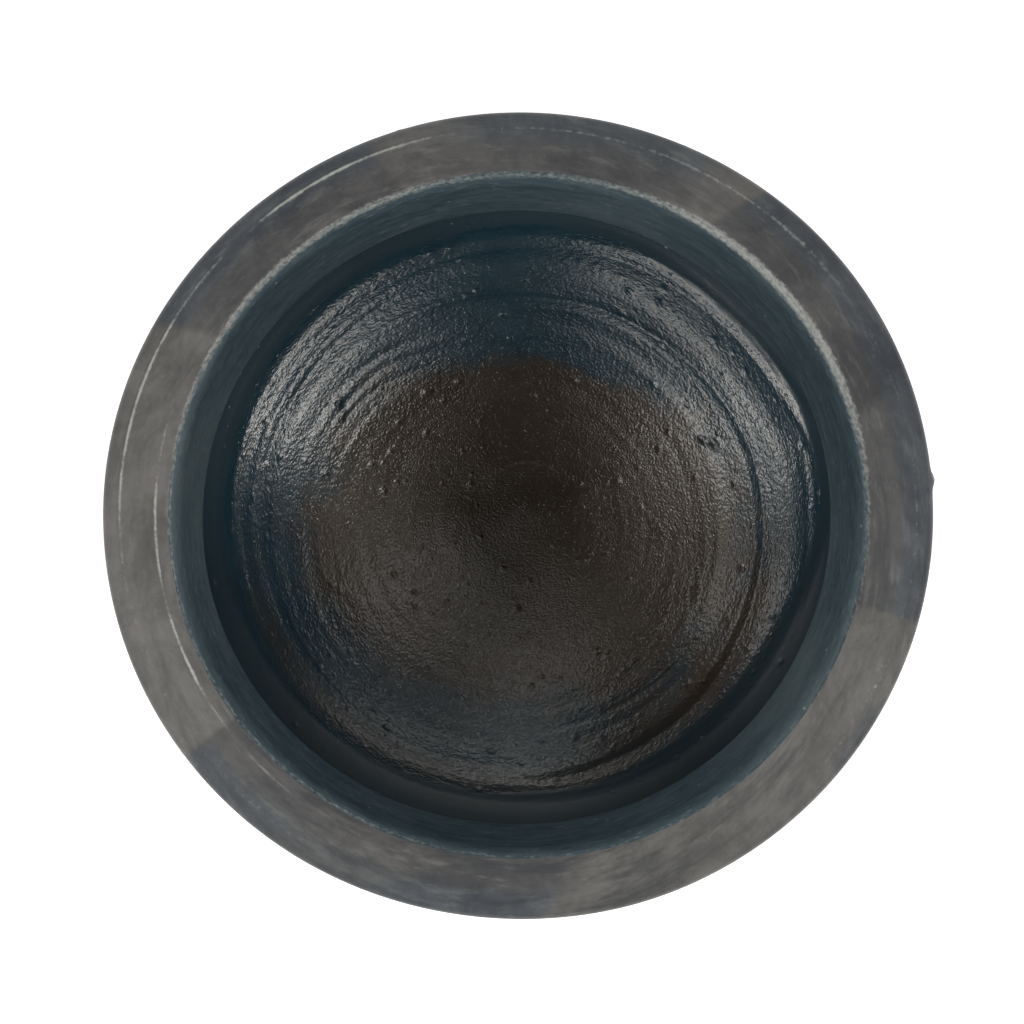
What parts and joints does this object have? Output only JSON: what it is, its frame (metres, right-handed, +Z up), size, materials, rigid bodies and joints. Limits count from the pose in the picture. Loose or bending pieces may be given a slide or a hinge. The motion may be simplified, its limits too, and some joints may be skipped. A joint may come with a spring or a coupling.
{
  "type": "clay pot",
  "caption": "Wide-mouthed round cooking pot in blackened clay, with a short collar, a broad sloping rim flange with a rounded lip, and a small flat foot.",
  "frame": {"origin": "centre of the flat foot, at the surface that the pot stands on", "axes": "+Z up along the pot's turning axis; +X along the pot's slightly wider diameter"},
  "size_m": [0.2432, 0.2368, 0.122],
  "materials": {
    "floor_clay": "matt, brown-black, lightly pitted",
    "belly_clay": "blue-black, fine pitted texture with throwing ridges, low gloss",
    "collar_clay": "smoothed, blue-black, satin",
    "rim_clay": "wiped, smoke-grey with blue-grey patches, satin"
  },
  "bodies": {
    "root": {"base_pad": "floor_clay", "heel_course": "belly_clay", "lower_belly_course": "belly_clay", "upper_belly_course": "belly_clay", "shoulder_course": "belly_clay", "neck_collar": "collar_clay", "rim_flange": "rim_clay", "lip_bead": "rim_clay"}
  },
  "joints": []
}
